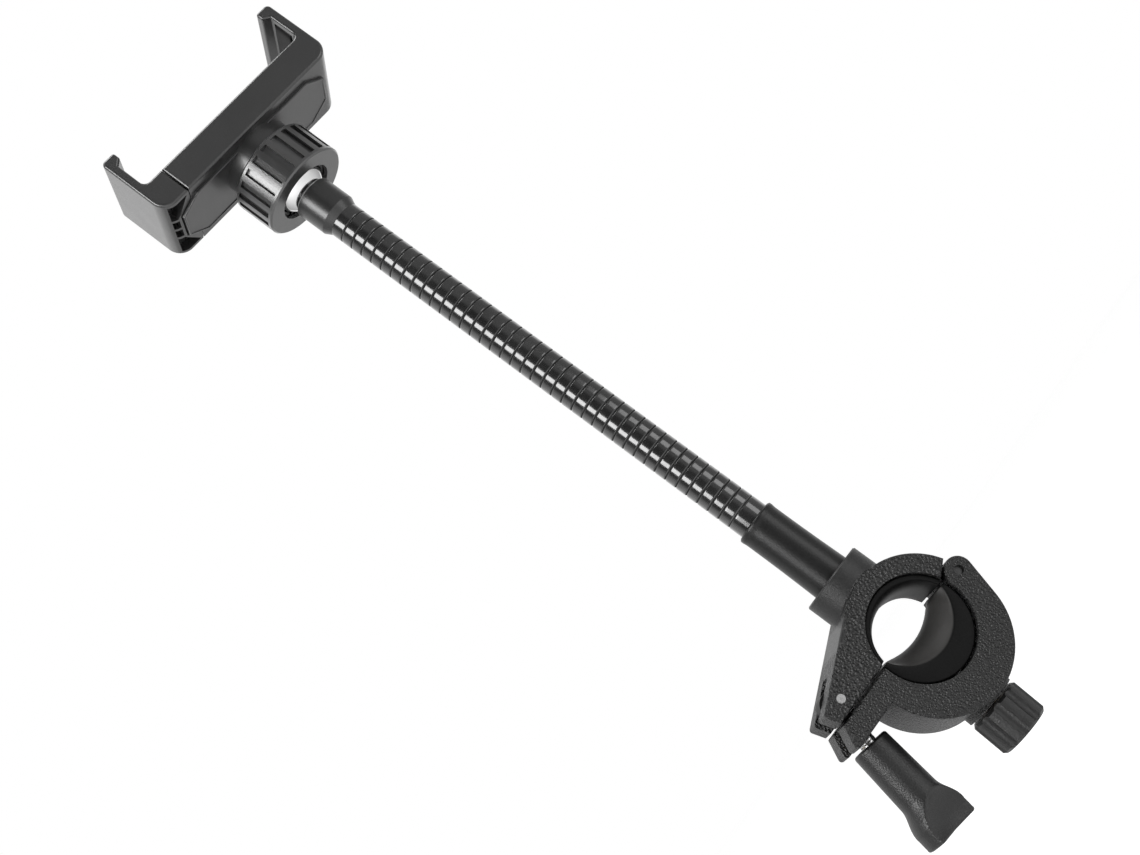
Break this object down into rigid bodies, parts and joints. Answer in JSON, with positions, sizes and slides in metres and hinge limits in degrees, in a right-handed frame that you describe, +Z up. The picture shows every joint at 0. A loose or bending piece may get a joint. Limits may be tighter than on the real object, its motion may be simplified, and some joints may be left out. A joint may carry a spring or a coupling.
{
  "type": "gooseneck phone holder",
  "caption": "Gooseneck phone holder with a hinged bar clamp, ringed flexible neck, ball joint with ribbed collar and a spring-loaded phone cradle.",
  "frame": {"origin": "axis of the gripped bar, at the middle of the clamp", "axes": "+Y along the bar, +Z up the neck to the cradle, +X towards the clamp's hinge"},
  "size_m": [0.0811, 0.0306, 0.3032],
  "materials": {
    "clamp_plastic": "pebbled moulded plastic, near black",
    "nut_plastic": "fine satin moulded plastic",
    "cradle_plastic": "satin moulded plastic",
    "collar_plastic": "semi-gloss moulded plastic",
    "neck_sleeve": "glossy ringed sleeve",
    "sleeve_rubber": "matte rubber",
    "pad_rubber": "soft rubber",
    "steel": "bright zinc-plated steel",
    "spring_steel": "drawn wire",
    "brass": "turned brass",
    "ball_chrome": "polished"
  },
  "bodies": {
    "clamp_body": {"clamp_upper_half": "clamp_plastic", "hinge_pin": "steel", "swing_bolt_pin": "steel", "upper_pad": "pad_rubber", "lower_core": "steel", "lower_sleeve": "sleeve_rubber"},
    "lower_jaw": {"clamp_lower_half": "clamp_plastic", "screw_insert": "brass"},
    "pressure_pad": {"pressure_pad": "pad_rubber"},
    "pad_knob": {"pad_screw": "steel", "pad_knob": "nut_plastic"},
    "swing_bolt": {"swing_bolt": "steel"},
    "nut_insert": {"thumb_nut_insert": "brass"},
    "thumb_nut": {"thumb_nut": "nut_plastic"},
    "neck_1": {"neck_link_1": "neck_sleeve"},
    "neck_2": {"neck_link_2": "neck_sleeve"},
    "neck_3": {"neck_link_3": "neck_sleeve"},
    "neck_4": {"neck_link_4": "neck_sleeve"},
    "neck_5": {"neck_link_5": "neck_sleeve"},
    "neck_6": {"neck_link_6": "neck_sleeve"},
    "neck_7": {"neck_link_7": "neck_sleeve"},
    "neck_8": {"neck_link_8": "neck_sleeve", "upper_ferrule": "neck_sleeve"},
    "ball_stud": {"ball_stud": "ball_chrome"},
    "cradle": {"cradle_housing": "cradle_plastic", "front_cover": "cradle_plastic", "cover_screws": "steel", "front_pad": "pad_rubber", "fixed_jaw_pad": "pad_rubber", "ball_seat": "nut_plastic", "jaw_spring_front": "spring_steel", "jaw_spring_rear": "spring_steel"},
    "collar": {"collar_nut": "collar_plastic"},
    "sliding_jaw": {"sliding_jaw": "cradle_plastic", "sliding_jaw_pad": "pad_rubber", "guide_rods": "steel"}
  },
  "joints": [
    {"name": "clamp_hinge", "type": "hinge", "parent": "clamp_body", "child": "lower_jaw", "pos_m": [0.02, 0, -0.0045], "axis": [0, -1, 0], "range_deg": [0, 20]},
    {"name": "bolt_swing", "type": "hinge", "parent": "clamp_body", "child": "swing_bolt", "pos_m": [-0.0295, 0, 0.0009], "axis": [0, 1, 0], "range_deg": [0, 121]},
    {"name": "nut_travel", "type": "slide", "parent": "swing_bolt", "child": "nut_insert", "axis": [-0.1668, 0, -0.986], "range_m": [0, 0.0202]},
    {"name": "nut_turn", "type": "hinge", "parent": "nut_insert", "child": "thumb_nut", "pos_m": [-0.03284, 0, -0.01882], "axis": [-0.1668, 0, -0.986], "continuous": true},
    {"name": "pad_slide", "type": "slide", "parent": "lower_jaw", "child": "pressure_pad", "axis": [0.0628, 0, 0.998], "range_m": [-0.0016, 0.0004]},
    {"name": "knob_turn", "type": "hinge", "parent": "pressure_pad", "child": "pad_knob", "pos_m": [0, 0, -0.0054], "axis": [0.0628, 0, 0.998], "range_deg": [-725, 185]},
    {"name": "neck_bend_1", "type": "hinge", "parent": "clamp_body", "child": "neck_1", "pos_m": [0, 0, 0.0491], "axis": [1, 0, 0], "range_deg": [-22, 22]},
    {"name": "neck_bend_2", "type": "hinge", "parent": "neck_1", "child": "neck_2", "pos_m": [0, 0, 0.0678], "axis": [0, 1, 0], "range_deg": [-22, 22]},
    {"name": "neck_bend_3", "type": "hinge", "parent": "neck_2", "child": "neck_3", "pos_m": [0, 0, 0.0865], "axis": [1, 0, 0], "range_deg": [-22, 22]},
    {"name": "neck_bend_4", "type": "hinge", "parent": "neck_3", "child": "neck_4", "pos_m": [0, 0, 0.1052], "axis": [0, 1, 0], "range_deg": [-22, 22]},
    {"name": "neck_bend_5", "type": "hinge", "parent": "neck_4", "child": "neck_5", "pos_m": [0, 0, 0.1239], "axis": [1, 0, 0], "range_deg": [-22, 22]},
    {"name": "neck_bend_6", "type": "hinge", "parent": "neck_5", "child": "neck_6", "pos_m": [0, 0, 0.1426], "axis": [0, 1, 0], "range_deg": [-22, 22]},
    {"name": "neck_bend_7", "type": "hinge", "parent": "neck_6", "child": "neck_7", "pos_m": [0, 0, 0.1613], "axis": [1, 0, 0], "range_deg": [-22, 22]},
    {"name": "neck_bend_8", "type": "hinge", "parent": "neck_7", "child": "neck_8", "pos_m": [0, 0, 0.18], "axis": [0, 1, 0], "range_deg": [-22, 22]},
    {"name": "ball_swivel", "type": "hinge", "parent": "neck_8", "child": "ball_stud", "pos_m": [0, 0, 0.2198], "axis": [0, 0, 1], "continuous": true},
    {"name": "ball_tilt", "type": "hinge", "parent": "ball_stud", "child": "cradle", "pos_m": [0, 0, 0.2198], "axis": [1, 0, 0], "range_deg": [-18, 18]},
    {"name": "collar_turn", "type": "hinge", "parent": "cradle", "child": "collar", "pos_m": [0, 0, 0.2207], "axis": [0, 0, 1], "continuous": true},
    {"name": "jaw_slide", "type": "slide", "parent": "cradle", "child": "sliding_jaw", "axis": [-1, 0, 0], "range_m": [0, 0.03], "stiffness_N_per_m": 300, "springref_m": -0.01, "deforming": ["jaw_spring_front", "jaw_spring_rear"]}
  ],
  "couplings": [
    {"joint": "bolt_swing", "follows": "clamp_hinge", "ratio": 6},
    {"joint": "nut_travel", "follows": "clamp_hinge", "m_per_rad": 0.057296},
    {"joint": "knob_turn", "follows": "pad_slide", "rad_per_m": 7854}
  ]
}
